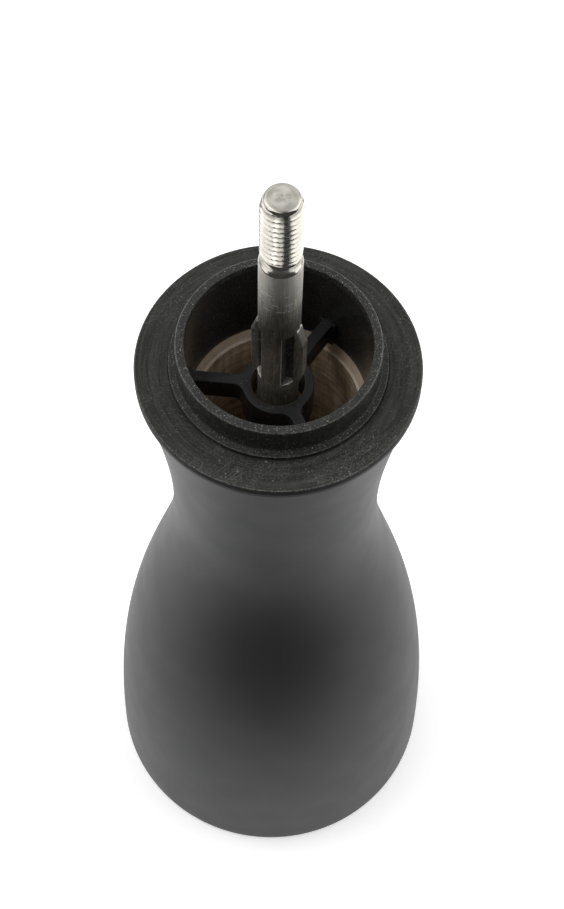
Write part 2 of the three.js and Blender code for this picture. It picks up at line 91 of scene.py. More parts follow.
SOCKET_FLOOR, CHAMFER = 123.2, 1.1  # bottom of the collar's socket, and the bevel inside it
LEDGE_LOW = SOCKET_FLOOR - CHAMFER
SPIDER_ARMS = (176, 56, -64)  # degrees from +X
SCREWS_AT = (30, 150, 270)  # degrees from +X
SCREW_CIRCLE, SCREW_HOLE = 18.5, 1.5  # radii

SHAFT_R = 3.0
SHOULDER_Z = 160.38  # where the shank narrows to the thread
THREAD_R, THREAD_DEPTH = 2.9, 0.58
THREAD_LOW, THREAD_HIGH = 162.1, 173.45
STUB_R, STUB_TOP = 2.4, 6.3
FLATS_HALF, FLATS_TOP = 2.4, 12.0

WINGS_AT = -24  # degrees from +X
WING_LOW, WING_SLOPE, WING_HIGH = 131.3, 142.55, 146.2  # the wings narrow above the second
WING_HALF = 0.85
EAR = 0.16  # how much thicker the wing's outer part is
PUNCH_EDGE = 1.59  # from the shaft's axis to the wall of the recess beside a wing
SCORED_RINGS = (155.9, 155.3, 153.9, 152.4)  # heights of the scratches round the shank

FLOOR_FRONT = 82.0  # from the mill's axis to the front edge of the sheet it stands on

# Pale lines along edges, partly wear and partly painted highlight: radius, height, width and strength.
TOP_EDGES = ((20.62, TOP_Z - 0.06, 0.16, 0.5),)
COLLAR_EDGES = ((14.6, 140.1, 0.22, 0.6), (13.5, 140.2, 0.12, 0.2), (15.76, 135.35, 0.1, 0.4))

# Scratches on the top face: degrees from +X, length, share left bare, and seed.
TOP_SCRATCHES = (
    (38, 4.5, 0.62, 0.0), (-44, 4.0, 0.63, 7.0), (14, 4.0, 0.63, 13.0), (72, 4.0, 0.63, 21.0),
    (-8, 4.0, 0.63, 33.0),
)

# Lights: name, place, aim and size in metres, power in watts.
LIGHTS = (
    ("left_box", (-0.55, 0.0, 0.62), (0, 0, 0.1), (0.9, 1.0), 4.0),
    ("right_box", (0.58, 0.08, 0.58), (0, 0, 0.1), (0.9, 1.0), 4.8),
    ("back_box", (0.0, 0.8, 0.6), (0, 0.1, 0.05), (1.2, 0.5), 2.2),
    ("top_box", (-0.1, 0.42, 0.95), (0, 0, 0.1), (0.8, 0.6), 1.1),
    ("key", (-0.3, 0.06, 0.85), (0, 0, 0.12), (0.22, 0.22), 0.9),
    ("front_box", (-0.26, -0.52, 0.92), (0, 0, 0.16), (0.5, 0.35), 0.6),
)
ROOM_STRENGTH, DARK_STRENGTH, PALE_STRENGTH = 0.45, 0.06, 1.0

# The photograph's view, fitted to the outlines of the rim, the body and the shaft.
CAMERA_AT, CAMERA_AIM = (-0.33, -131.25, 349.83), (0.89, 0, 107.15)
CAMERA_ROLL = 1.696  # degrees
CAMERA_LENS, CAMERA_SENSOR = 69.63, 36

# -------- outlines and meshes


def arc(r, z, radius, start, end, steps=8):
    """Points of an arc about (r, z), from one angle to another, in degrees."""
    angles = np.radians(np.linspace(start, end, steps + 1))
    return [(r + radius * math.cos(a), z + radius * math.sin(a)) for a in angles]


def bezier(p0, p1, p2, p3, steps):
    t = np.linspace(0, 1, steps + 1)[:, None]
    weights = np.hstack([(1 - t) ** 3, 3 * t * (1 - t) ** 2, 3 * t**2 * (1 - t), t**3])
    return [tuple(p) for p in weights @ np.array([p0, p1, p2, p3], float)]


def rounded(corners, radius, steps=4):
    """A closed outline with each corner replaced by a small arc-like curve."""
    points = []
    corners = np.array(corners, float)
    for before, corner, after in zip(np.roll(corners, 1, 0), corners, np.roll(corners, -1, 0)):
        sides = before - corner, after - corner
        lengths = [np.linalg.norm(side) for side in sides]
        size = min(radius, min(lengths) / 2.1)
        start, end = [corner + side / length * size for side, length in zip(sides, lengths)]
        for t in np.linspace(0, 1, steps + 1):
            points.append(tuple((1 - t) ** 2 * start + 2 * t * (1 - t) * corner + t**2 * end))
    return points


def link(name, data):
    """A new object in the scene."""
    made = bpy.data.objects.new(name, data)
    bpy.context.scene.collection.objects.link(made)
    return made


def add_object(name, mesh, materials):
    piece = link(name, mesh)
    mesh.materials.clear()
    for material in materials:
        mesh.materials.append(material)
    return piece


def tidy_mesh(mesh, sharp=35):
    """Joins doubled points, turns the faces out and keeps creases over the sharp angle."""
    work = bmesh.new()
    work.from_mesh(mesh)
    bmesh.ops.remove_doubles(work, verts=work.verts, dist=2e-7)
    bmesh.ops.dissolve_degenerate(work, edges=work.edges, dist=1e-8)
    bmesh.ops.recalc_face_normals(work, faces=work.faces)
    work.to_mesh(mesh)
    work.free()
    mesh.shade_smooth()
    mesh.set_sharp_from_angle(angle=math.radians(sharp))


def skin(name, rings, materials, closed=True, zones=None, sharp=35):
    """A solid through rings of points in millimetres; an open stack is capped at both ends."""
    rings = np.asarray(rings, float) * MM
    count, sides = rings.shape[:2]
    index = np.arange(count * sides).reshape(count, sides)
    spans = count if closed else count - 1
    faces = []
    face_zones = []
    for k in range(spans):
        low, high = index[k], index[(k + 1) % count]
        quads = np.stack([low, np.roll(low, -1), np.roll(high, -1), high], axis=1)
        faces += quads.tolist()
        face_zones += [zones[k] if zones else 0] * sides
    if not closed:
        faces += [index[0][::-1].tolist(), index[-1].tolist()]
        face_zones += [face_zones[0], face_zones[-1]]
    mesh = bpy.data.meshes.new(name)
    mesh.from_pydata(rings.reshape(-1, 3).tolist(), [], faces)
    piece = add_object(name, mesh, materials)
    mesh.polygons.foreach_set("material_index", face_zones)
    tidy_mesh(mesh, sharp)
    return piece


def turned(name, outline, materials, sides=192, closed=True, zones=None, sharp=35):
    """A round piece whose section is an outline of (radius, height) points."""
    angles = np.linspace(0, 2 * np.pi, sides, endpoint=False)
    r, z = np.array(outline, float).T
    rings = np.stack(
        [np.outer(r, np.cos(angles)), np.outer(r, np.sin(angles)), np.outer(z, np.ones(sides))],
        axis=-1,
    )
    return skin(name, rings, materials, closed, zones, sharp)


def field(radius, heights, angles):
    """Rings of points at radius(angle, height) millimetres from the axis."""
    rings = []
    for z in heights:
        r = radius(angles, z)
        rings.append(np.stack([r * np.cos(angles), r * np.sin(angles), np.full_like(r, z)], -1))
    return rings


def prism(name, loops, low, high, materials, edge=0.12):
    """A flat plan with holes, raised between two heights, with its edges rounded."""
    curve = bpy.data.curves.new(name, "CURVE")
    curve.dimensions = "2D"
    curve.fill_mode = "BOTH"
    curve.extrude = ((high - low) / 2 - edge) * MM
    curve.bevel_depth = edge * MM
    curve.bevel_resolution = 2
    curve.offset = -edge * MM
    for loop in loops:
        spline = curve.splines.new("POLY")
        spline.points.add(len(loop) - 1)
        for point, (x, y) in zip(spline.points, loop):
            point.co = (x * MM, y * MM, 0, 1)
        spline.use_cyclic_u = True
    shell = link(name + "_plan", curve)
    bpy.context.view_layer.update()
    mesh = bpy.data.meshes.new_from_object(shell.evaluated_get(bpy.context.evaluated_depsgraph_get()))
    bpy.data.objects.remove(shell)
    mesh.transform(Matrix.Translation((0, 0, (low + high) / 2 * MM)))
    mesh.name = name
    tidy_mesh(mesh)
    return add_object(name, mesh, materials)


def combine(piece, others, operation, sharp=35):
    """Joins other pieces to this one, or cuts them from it, and keeps one clean mesh."""
    for other in others:
        change = piece.modifiers.new("combine", "BOOLEAN")
        change.operation = operation
        change.solver = "EXACT"
        change.object = other
    bpy.context.view_layer.update()
    graph = bpy.context.evaluated_depsgraph_get()
    mesh = bpy.data.meshes.new_from_object(piece.evaluated_get(graph))
    piece.modifiers.clear()
    piece.data = mesh
    for other in others:
        bpy.data.objects.remove(other)
    tidy_mesh(mesh, sharp)
    return piece


def place(piece, body, node, slot):
    """Puts a finished piece on its CAD body in place of its CAD node."""
    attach(piece, body)
    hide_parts(node)
    return piece


def turn_loop(loop, azimuth):
    """A loop turned about the axis by an angle in degrees."""
    c, s = math.cos(math.radians(azimuth)), math.sin(math.radians(azimuth))
    return [(x * c - y * s, x * s + y * c) for x, y in loop]


def bar(start, end, half, azimuth):
    """A rectangle along a direction, from one radius to another."""
    return turn_loop([(start, -half), (end, -half), (end, half), (start, half)], azimuth)


def circle(radius, steps=96, x=0.0, y=0.0):
    return [(px + x, py + y) for px, py in arc(0, 0, radius, 0, 360, steps)[:-1]]


def screw_places():
    return [turn_loop([(SCREW_CIRCLE, 0)], azimuth)[0] for azimuth in SCREWS_AT]


def spoked_plan(azimuths, hub, half, fillet, reach, tee=None):
    """Plan of a hub with arms blended into it; tee is the half width and depth of a cross end."""
    along = math.sqrt((hub + fillet) ** 2 - (half + fillet) ** 2)
    meet = math.degrees(math.atan2(half + fillet, along))
    end = [(reach, -half), (reach, half)]
    if tee:
        wide, deep = tee
        start = reach - deep
        end = [(start, -half), (start, -wide), (reach, -wide), (reach, wide), (start, wide), (start, half)]
    ordered = sorted(azimuths)
    plan = []
    for azimuth, following in zip(ordered, [*ordered[1:], ordered[0] + 360]):
        arm = arc(along, -half - fillet, fillet, 180 - meet, 90)
        arm += end + arc(along, half + fillet, fillet, -90, meet - 180)
        plan += turn_loop(arm, azimuth) + arc(0, 0, hub, azimuth + meet, following - meet, 24)[1:-1]
    return plan


# -------- materials


class Nodes:
    """Builds one tree's nodes; a value is a number, a color or another node's output."""

    def __init__(self, tree):
        self.tree = tree

    def node(self, kind, **settings):
        made = self.tree.nodes.new(kind)
        for key, value in settings.items():
            setattr(made, key, value)
        return made

    def feed(self, socket, value):
        if isinstance(value, bpy.types.NodeSocket):
            self.tree.links.new(value, socket)
        else:
            socket.default_value = value

    def math(self, operation, first, *others):
        """One value, or several joined two at a time from the left."""
        result = first
        for other in others or (0.0,):
            made = self.node("ShaderNodeMath", operation=operation)
            self.feed(made.inputs[0], result)
            self.feed(made.inputs[1], other)
            result = made.outputs[0]
        return result

    def times(self, *values):
        return self.math("MULTIPLY", *values)

    def strongest(self, *values):
        return self.math("MAXIMUM", *values)

    def vector(self, operation, first, second=None, scale=None):
        made = self.node("ShaderNodeVectorMath", operation=operation)
        self.feed(made.inputs[0], first)
        if second is not None:
            self.feed(made.inputs[1], second)
        if scale is not None:
            self.feed(made.inputs["Scale"], scale)
        return made.outputs["Value" if operation in ("LENGTH", "DOT_PRODUCT") else "Vector"]

    def xyz(self, x, y, z):
        made = self.node("ShaderNodeCombineXYZ")
        for socket, value in zip(made.inputs, (x, y, z)):
            self.feed(socket, value)
        return made.outputs[0]

    def ramp(self, value, low, high, to_low=0.0, to_high=1.0):
        """Spreads a value between two limits, smoothly."""
        made = self.node("ShaderNodeMapRange", interpolation_type="SMOOTHSTEP")
        for socket, number in zip(made.inputs[:5], (value, low, high, to_low, to_high)):
            self.feed(socket, number)
        return made.outputs[0]

    def near(self, value, centre, outer, inner):
        """1 within the inner distance of a centre, falling to 0 at the outer distance."""
        return self.ramp(self.math("ABSOLUTE", self.math("SUBTRACT", value, centre)), outer, inner)

    def mix(self, amount, first, second):
        made = self.node("ShaderNodeMix", data_type="RGBA")
        self.feed(made.inputs["Factor"], amount)
        for socket, value in zip((made.inputs[6], made.inputs[7]), (first, second)):
            self.feed(socket, value if isinstance(value, bpy.types.NodeSocket) else (*value, 1))
        return made.outputs[2]


class Look(Nodes):
    """A procedural material. Its coordinates are in millimetres, fixed to the piece."""

    def __init__(self, name, color, roughness, metallic=0.0, ior=1.5):
        self.material = bpy.data.materials.new(name)
        self.material.use_nodes = True
        super().__init__(self.material.node_tree)
        self.shader = self.tree.nodes["Principled BSDF"]
        self.color((*color, 1))
        self.roughness(roughness)
        self.put("Metallic", metallic)
        self.put("IOR", ior)
        source = self.node("ShaderNodeTexCoord").outputs["Object"]
        self.place = self.vector("SCALE", source, scale=1 / MM)
        self.normal = None

    def axes(self):
        split = self.node("ShaderNodeSeparateXYZ")
        self.feed(split.inputs[0], self.place)
        return split.outputs

    def axis_distance(self):
        x, y, _ = self.axes()
        return self.vector("LENGTH", self.xyz(x, y, 0.0))

    def stretched(self, flat, upright):
        """Coordinates scaled by one factor across the axis and by another along it."""
        x, y, z = self.axes()
        return self.xyz(self.times(x, flat), self.times(y, flat), self.times(z, upright))

    def turning(self, around, across):
        """Coordinates that run round the axis slowly and across the tool's path quickly."""
        x, y, z = self.axes()
        unit = self.vector("NORMALIZE", self.xyz(x, y, 0.0))
        step = self.times(self.math("ADD", self.axis_distance(), z), across)
        return self.vector("ADD", self.vector("SCALE", unit, scale=around), self.xyz(0.0, 0.0, step))

    def noise(self, scale, detail=3.0, rough=0.5, place=None, distortion=0.0):
        made = self.node("ShaderNodeTexNoise")
        self.feed(made.inputs["Vector"], place or self.place)
        made.inputs["Scale"].default_value = scale
        made.inputs["Detail"].default_value = detail
        made.inputs["Roughness"].default_value = rough
        made.inputs["Distortion"].default_value = distortion
        return made.outputs["Fac"]

    def specks(self, cell, size, share, seed=0.0):
        """Small round grains: one in a share of the cells, 1 inside a grain."""
        moved = self.vector("ADD", self.place, (seed, seed, seed))
        cells = self.node("ShaderNodeTexVoronoi")
        self.feed(cells.inputs["Vector"], moved)
        cells.inputs["Scale"].default_value = 1 / cell
        away = self.times(cells.outputs["Distance"], cell)
        pick = self.node("ShaderNodeSeparateColor")
        self.feed(pick.inputs[0], cells.outputs["Color"])
        chosen = self.math("LESS_THAN", pick.outputs[0], share)
        own_size = self.times(pick.outputs[1], size)
        inside = self.math("SUBTRACT", 1.0, self.ramp(away, self.times(own_size, 0.6), own_size))
        return self.times(inside, chosen)

    def scratches(self, azimuth, spacing, length, cover, seed):
        """Fine straight scratches along one direction; cover is the share left bare."""
        a = math.radians(azimuth)
        across = self.vector("DOT_PRODUCT", self.place, (-math.sin(a), math.cos(a), 0.35))
        along = self.vector("DOT_PRODUCT", self.place, (math.cos(a), math.sin(a), 0.1))
        place = self.xyz(self.times(across, 1 / spacing), self.times(along, 1 / length), seed)
        return self.ramp(self.noise(1.0, 2.0, 0.5, place), cover, cover + 0.06)

    def bump(self, height, depth):
        """Adds relief; depth is in millimetres for a height of 1."""
        made = self.node("ShaderNodeBump")
        made.inputs["Distance"].default_value = depth * MM
        self.feed(made.inputs["Height"], height)
        if self.normal is not None:
            self.feed(made.inputs["Normal"], self.normal)
        self.normal = made.outputs[0]
        self.put("Normal", self.normal)

    def put(self, socket, value):
        """Feeds one of the shader's own sockets."""
        self.feed(self.shader.inputs[socket], value)

    def color(self, value):
        self.put("Base Color", value)

    def roughness(self, value):
        self.put("Roughness", value)


def lacquer_look():
    """Matt dark grey lacquer with a faint orange peel and a little dust."""
    look = Look("lacquer", (0.02, 0.02, 0.021), 0.42, ior=1.27)
    cloud = look.noise(0.05, 3.0)
    grain = look.noise(9.0, 2.0)
    dust = look.specks(1.6, 0.05, 0.12)
    base = look.mix(cloud, (0.021, 0.021, 0.022), (0.024, 0.024, 0.025))
    look.color(look.mix(dust, base, (0.2, 0.2, 0.2)))
    look.roughness(look.ramp(look.noise(0.15, 2.0), 0.25, 0.75, 0.4, 0.44))
    look.bump(grain, 0.0006)
    return look.material


def top_look():
    """The body's black top face: turned rings, cross scratches and pale dust; its side is black, painted
    darker still as shade.
    """
    look = Look("turned_top", (0.02, 0.02, 0.02), 0.5, ior=1.22)
    _, y, z = look.axes()
    rings = look.noise(1.0, 5.0, 0.75, look.turning(1.6, 2.2))
    grain = look.noise(3.2, 4.0, 0.75)
    spacing = 0.13
    marks = look.strongest(*(look.scratches(azimuth, spacing, *row) for azimuth, *row in TOP_SCRATCHES))
    patches = look.ramp(look.noise(0.22, 3.0), 0.35, 0.65, 0.3, 1.0)
    # Patchy, and strongest towards the front (-Y).
    front_weighted_patches = look.times(patches, look.ramp(y, -9.0, -17.0, 0.45, 1.0))
    dust = look.strongest(look.specks(0.32, 0.11, 0.5), look.specks(0.5, 0.15, 0.25, 5.0))
    base = look.mix(look.ramp(rings, 0.3, 0.7), (0.008, 0.0082, 0.008), (0.038, 0.0385, 0.036))
    base = look.mix(look.times(look.ramp(grain, 0.48, 0.66), front_weighted_patches), base, (0.075, 0.075, 0.068))
    base = look.mix(look.times(marks, front_weighted_patches, 0.55), base, (0.13, 0.128, 0.112))
    base = look.mix(look.times(dust, front_weighted_patches, 0.7), base, (0.3, 0.29, 0.25))
    # The rim's side: its own black, darkened further as painted shade.
    side = look.ramp(z, TOP_Z - 0.15, TOP_Z - 0.3)
    look.color(look.mix(side, base, (0.004, 0.004, 0.004)))
    look.roughness(look.ramp(rings, 0.2, 0.8, 0.45, 0.65))
    look.bump(rings, 0.05)
    look.bump(grain, 0.012)
    return worn_and_highlit_edges(look, TOP_EDGES)


def wood_look():
    """Bare turned beech: tool rings, flecks and stains, with a browner ledge and a painted highlight along
    its edge.
    """
    look = Look("bare_wood", (0.3, 0.2, 0.12), 0.7)
    z = look.axes()[2]
    along_grain = look.stretched(0.9, 0.12)
    grain = look.noise(1.0, 5.0, 0.6, along_grain, 0.6)
    rings = look.noise(1.0, 3.0, 0.6, look.turning(0.9, 1.1))
    fine = look.noise(1.0, 3.0, 0.6, look.turning(2.5, 6.0))
    flecks = look.ramp(look.noise(3.0, 2.0, 0.5, along_grain), 0.58, 0.7, 0.0, 0.35)
    base = look.mix(look.ramp(grain, 0.3, 0.7), (0.52, 0.395, 0.265), (0.8, 0.66, 0.49))
    base = look.mix(look.ramp(rings, 0.35, 0.65, 0.0, 0.6), base, (0.36, 0.26, 0.175))
    base = look.mix(flecks, base, (0.26, 0.17, 0.1))
    blotch = look.ramp(look.noise(0.45, 4.0, 0.65), 0.5, 0.68, 0.0, 0.55)
    base = look.mix(blotch, base, (0.3, 0.215, 0.14))
    ledge = look.ramp(z, LEDGE_LOW - 0.2, LEDGE_LOW + 0.3, 0.0, 0.75)
    base = look.mix(ledge, base, (0.4, 0.31, 0.225))
    # A pale line along the ledge's edge: painted highlight, broken up by patchy noise.
    worn = look.ramp(look.noise(0.9, 4.0, 0.7), 0.35, 0.6, 0.35, 1.0)
    lip_highlight = look.times(look.near(z, LEDGE_LOW + 0.05, 0.3, 0.05), worn, 0.7)
    look.color(look.mix(lip_highlight, base, (0.88, 0.8, 0.68)))
    look.roughness(look.ramp(fine, 0.3, 0.7, 0.55, 0.8))
    look.bump(rings, 0.12)
    look.bump(fine, 0.03)
    return look.material


def plastic_look(name, color, rough, texture, dust=0.3, fleck=0.0, ior=1.45):
    """Moulded plastic; texture is its grain's depth in millimetres, fleck its pale mottle."""
    look = Look(name, color, rough, ior=ior)
    grain = look.noise(4.0, 4.0, 0.75)
    cloud = look.noise(0.25, 3.0)
    base = look.mix(look.ramp(cloud, 0.3, 0.7), color, tuple(c * 1.4 for c in color))
    if fleck:
        pale = look.ramp(look.noise(3.6, 4.0, 0.8), 0.5, 0.7, 0.0, fleck)
        base = look.mix(pale, base, (0.1, 0.101, 0.094))
    specks = look.strongest(look.specks(0.17, 0.075, dust), look.specks(0.36, 0.11, dust * 0.6, 3.0))
    look.color(look.mix(look.times(specks, 0.6), base, (0.4, 0.39, 0.35)))
    look.roughness(look.ramp(grain, 0.3, 0.7, max(rough - 0.08, 0.05), rough + 0.08))
    look.bump(grain, texture)
    return look


def color_so_far(look):
    return look.shader.inputs["Base Color"].links[0].from_socket


def worn_and_highlit_edges(look, edges):
    """Pale lines round the axis, partly wear and partly painted highlight; each edge is (radius, height,
    width, strength).
    """
    radius, z = look.axis_distance(), look.axes()[2]
    rub = look.ramp(look.noise(3.4, 5.0, 0.85), 0.42, 0.6, 0.06, 1.0)
    color = color_so_far(look)
    for edge_r, edge_z, width, strength in edges:
        away = look.xyz(look.math("SUBTRACT", radius, edge_r), look.math("SUBTRACT", z, edge_z), 0.0)
        line = look.ramp(look.vector("LENGTH", away), width, width * 0.3)
        # Pale line: partly wear, partly painted highlight.
        color = look.mix(look.times(line, rub, strength), color, (0.24, 0.24, 0.22))
    look.color(color)
    return look.material


def brown_bore(look, radius):
    """Patchy brown on the surfaces nearer the axis than a radius."""
    inside = look.ramp(look.axis_distance(), radius, radius - 0.2)
    dust = look.times(inside, look.ramp(look.noise(0.8, 4.0, 0.7), 0.35, 0.65, 0.4, 0.9))
    look.color(look.mix(dust, color_so_far(look), (0.09, 0.075, 0.055)))
    return look.material


def metal_look(name, color, rough, lines=None, frost=0.0):
    """Bright metal; lines gives the tool marks' (around, across) scales, frost a grain's depth."""
    look = Look(name, color, rough, 1.0)
    stain = look.noise(0.35, 4.0)
    darker = tuple(c * 0.78 for c in color)
    look.color(look.mix(look.ramp(stain, 0.35, 0.7), color, darker))
    fine = look.noise(6.0, 3.0)
    look.roughness(look.ramp(fine, 0.3, 0.7, rough * 0.75, rough * 1.3))
    if lines:
        look.bump(look.noise(1.0, 3.0, 0.6, look.turning(*lines)), 0.008)
    if frost:
        look.bump(look.noise(12.0, 2.0, 0.6), frost)
    return look.material


BRIGHT_STEEL = (0.97, 0.96, 0.92)


def shaft_look():
    """Drawn stainless rod: frosted near its shoulder, with painted light there too, streaked below, smoother
    on the thread.
    """
    look = Look("shaft_steel", (0.5, 0.48, 0.44), 0.3, 1.0)
    z = look.axes()[2]
    flat_r = look.axis_distance()
    shank = look.ramp(z, SHOULDER_Z + 0.12, SHOULDER_Z - 0.08)
    tip = look.ramp(z, SHAFT_TOP - 0.1, SHAFT_TOP - 0.04)
    streaks = look.noise(1.0, 4.0, 0.65, look.stretched(7.0, 0.25))
    grit = look.noise(7.0, 3.0, 0.75)
    rings = scored_rings(look, z)
    grains = steel_grains(look, grit)
    pale = look.times(grains, shank, 0.75)
    base = shank_color(look, z, shank, streaks, grit)
    base = punch_shade(look, base, flat_r, z)
    base = thread_root_shade(look, base, flat_r, z)
    base = turned_end(look, base, tip)
    look.color(look.mix(look.strongest(rings, pale), base, BRIGHT_STEEL))
    look.put("Metallic", look.math("SUBTRACT", 1.0, look.times(pale, 0.6)))
    shaft_gloss(look, z, shank, tip, streaks, ((grains, 0.25), (rings, 0.3)))
    look.bump(look.times(streaks, shank), 0.01)
    look.bump(look.noise(1.0, 3.0, 0.6, look.turning(0.8, 6.0)), 0.004)
    look.bump(look.math("SUBTRACT", 1.0, rings), 0.02)
    return look.material


def scored_rings(look, z):
    """Broken scratches round the shank."""
    lines = look.strongest(*(look.near(z, height, 0.09, 0.04) for height in SCORED_RINGS))
    return look.times(lines, look.ramp(look.noise(0.8, 2.0), 0.46, 0.56))


def steel_grains(look, grit):
    """Dust and tiny pits, thicker in some places than in others."""
    grains = look.strongest(look.specks(0.24, 0.11, 0.6), look.specks(0.42, 0.15, 0.4, 4.0))
    grains = look.times(grains, look.ramp(look.noise(0.6, 2.0), 0.4, 0.6, 0.3, 1.0))
    return look.strongest(grains, look.ramp(grit, 0.6, 0.7, 0.0, 0.8))


def shank_color(look, z, shank, streaks, grit):
    """Stained steel, streaked, gritty and mottled on the shank, with painted shade on its +X half; paler
    near its shoulder, partly frosted wear and partly painted light; a little paler at its foot, as painted
    light.
    """
    dull = (0.2, 0.19, 0.17)
    stain = look.ramp(look.noise(0.5, 3.0, 0.6), 0.3, 0.75)
    base = look.mix(stain, (0.66, 0.63, 0.57), (0.5, 0.475, 0.42))
    base = look.mix(look.times(look.ramp(streaks, 0.42, 0.6), shank, 0.6), base, dull)
    base = look.mix(look.times(look.ramp(grit, 0.52, 0.36), shank, 0.5), base, dull)
    mottle = look.ramp(look.noise(1.0, 4.0, 0.65, look.stretched(1.3, 0.3)), 0.42, 0.62)
    # The dark mottle is faint on the -X half and full on the +X half: painted shade.
    painted_shade_side = look.ramp(look.axes()[0], -2.2, 0.5, 0.1, 1.0)
    base = look.mix(look.times(mottle, painted_shade_side, shank, 0.4), base, (0.16, 0.152, 0.135))
    # Paler near the shoulder: partly frosted wear, partly painted light.
    base = look.mix(look.times(look.ramp(z, 150.0, 159.0), shank, 0.6), base, (0.86, 0.835, 0.77))
    # A little paler towards the foot: painted light.
    return look.mix(look.ramp(z, 147.0, 138.0, 0.0, 0.15), base, (0.78, 0.745, 0.67))


def thread_root_shade(look, base, flat_r, z):
    """Painted shade at the bottom of the upper thread's grooves."""
    depth = look.ramp(flat_r, THREAD_R - 0.18, THREAD_R - 0.48, 0.0, 0.7)
    from_end = look.ramp(z, THREAD_LOW + 0.1, THREAD_LOW + 0.5)
    to_tip = look.ramp(z, THREAD_HIGH - 0.15, THREAD_HIGH - 0.55)
    return look.mix(look.times(depth, from_end, to_tip), base, (0.16, 0.15, 0.13))


def turned_end(look, base, tip):
    """Faint rings on the shaft's flat end."""
    rings = look.ramp(look.noise(1.0, 2.0, 0.5, look.turning(0.8, 1.3)), 0.3, 0.7)
    return look.mix(tip, base, look.mix(rings, (0.46, 0.445, 0.405), (0.3, 0.29, 0.26)))


def shaft_gloss(look, z, shank, tip, streaks, marks):
    """Drawn shank: rougher near the shoulder, at the foot and on its marks; brushed lengthwise."""
    worn = look.times(shank, look.ramp(z, 143.0, 157.0))
    foot = look.ramp(z, 147.0, 138.0)
    rough = look.ramp(streaks, 0.35, 0.65, 0.12, 0.3)
    for part, amount in ((worn, 0.26), (foot, 0.28), *marks):
        rough = look.math("ADD", rough, look.times(part, amount))
    look.roughness(look.math("ADD", 0.17, look.times(shank, rough), look.times(tip, 0.16)))
    tangent = look.node("ShaderNodeTangent", direction_type="RADIAL", axis="Z")
    look.put("Tangent", tangent.outputs[0])
    look.put("Anisotropic", look.times(shank, 0.5))


def punch_shade(look, base, flat_r, z):
    """Painted shade in the recesses beside the wings, a painted highlight on the wing tops, and a painted
    highlight along the edge of each recess.
    """
    a = math.radians(WINGS_AT)
    along = look.math("ABSOLUTE", look.vector("DOT_PRODUCT", look.place, (math.cos(a), math.sin(a), 0)))
    above_floor = look.ramp(z, WING_LOW + 1.5, WING_LOW + 1.85)
    height = look.times(above_floor, look.ramp(z, WING_HIGH - 0.5, WING_HIGH - 1.0))
    # Painted shade in the recess.
    inside = look.times(look.ramp(flat_r, SHAFT_R - 0.08, SHAFT_R - 0.16), height, 0.75)
    base = look.mix(inside, base, (0.1, 0.095, 0.085))
    # Painted highlight on the wings' sloping tops.
    slope = look.ramp(z, WING_SLOPE + 0.05, WING_SLOPE + 0.25, 0.0, 0.35)
    crown = look.times(look.ramp(flat_r, SHAFT_R + 0.03, SHAFT_R + 0.08), slope)
    base = look.mix(crown, base, BRIGHT_STEEL)
    # Painted highlight along the recess's edge.
    lip_highlight = look.times(
        look.near(along, PUNCH_EDGE - 0.06, 0.09, 0.05),
        look.ramp(flat_r, SHAFT_R - 0.12, SHAFT_R - 0.06),
        height,
        look.ramp(look.noise(1.1, 3.0), 0.3, 0.55, 0.5, 1.0),
    )
    return look.mix(lip_highlight, base, BRIGHT_STEEL)


LACQUER = lacquer_look()
TOP_BLACK = top_look()
WOOD = wood_look()
COLLAR_GRAIN = worn_and_highlit_edges(
    plastic_look("eroded_plastic", (0.015, 0.0155, 0.0145), 0.55, 0.03, 0.5, 0.5, 1.27), COLLAR_EDGES
)
SLEEVE_GLOSS = plastic_look("smooth_plastic", (0.015, 0.015, 0.0143), 0.26, 0.0004, 0.04, 0.0, 1.38).material
SPIDER_SATIN = brown_bore(
    plastic_look("spider_plastic", (0.011, 0.011, 0.0115), 0.42, 0.002, 0.05, 0.1, 1.25), 4.15
)
CAGE_PLASTIC = plastic_look("cage_plastic", (0.014, 0.014, 0.014), 0.45, 0.01, 0.1).material
SHAFT_STEEL = shaft_look()
BURR_STEEL = metal_look("burr_steel", (0.3, 0.3, 0.305), 0.38, lines=(2.0, 6.0), frost=0.008)
PLATED = metal_look("plated_steel", (0.6, 0.6, 0.58), 0.32, lines=(2.0, 8.0))
SPRING_WIRE = metal_look("spring_wire", (0.5, 0.5, 0.51), 0.28, frost=0.003)
BRASS = metal_look("bush_brass", (0.75, 0.56, 0.28), 0.3, lines=(2.0, 9.0))
ACETAL = plastic_look("acetal", (0.62, 0.6, 0.53), 0.4, 0.004, 0.02).material

# -------- body


